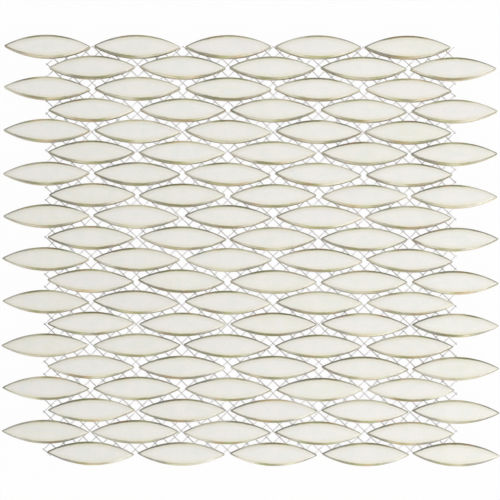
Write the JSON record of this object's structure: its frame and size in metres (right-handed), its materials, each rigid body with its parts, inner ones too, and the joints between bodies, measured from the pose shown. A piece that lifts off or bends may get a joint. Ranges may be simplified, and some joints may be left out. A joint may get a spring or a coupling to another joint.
{
  "type": "lens mosaic tile sheet",
  "caption": "Mosaic sheet of lens-shaped glazed ceramic tiles in staggered rows, held by a fine diagonal mesh on the back, for bedding in adhesive and grouting.",
  "frame": {"origin": "middle of the sheet, on the surface that the net's underside lies on", "axes": "+X along the tiles, from tip to tip; +Y across the rows, towards the picture's top; +Z out of the glazed faces"},
  "size_m": [0.305, 0.2662, 0.0065],
  "materials": {
    "glazed_tile": "satin off-white glaze",
    "net_yarn": "coated glass-fibre yarn, off-white"
  },
  "bodies": {
    "root": {"tile_row_01": "glazed_tile", "tile_row_02": "glazed_tile", "tile_row_03": "glazed_tile", "tile_row_04": "glazed_tile", "tile_row_05": "glazed_tile", "tile_row_06": "glazed_tile", "tile_row_07": "glazed_tile", "tile_row_08": "glazed_tile", "tile_row_09": "glazed_tile", "tile_row_10": "glazed_tile", "tile_row_11": "glazed_tile", "tile_row_12": "glazed_tile", "tile_row_13": "glazed_tile", "tile_row_14": "glazed_tile", "tile_row_15": "glazed_tile", "tile_row_16": "glazed_tile", "tile_row_17": "glazed_tile", "tile_row_18": "glazed_tile", "tile_row_19": "glazed_tile", "tile_row_20": "glazed_tile", "net_lower_yarns": "net_yarn", "net_upper_yarns": "net_yarn"}
  },
  "joints": []
}
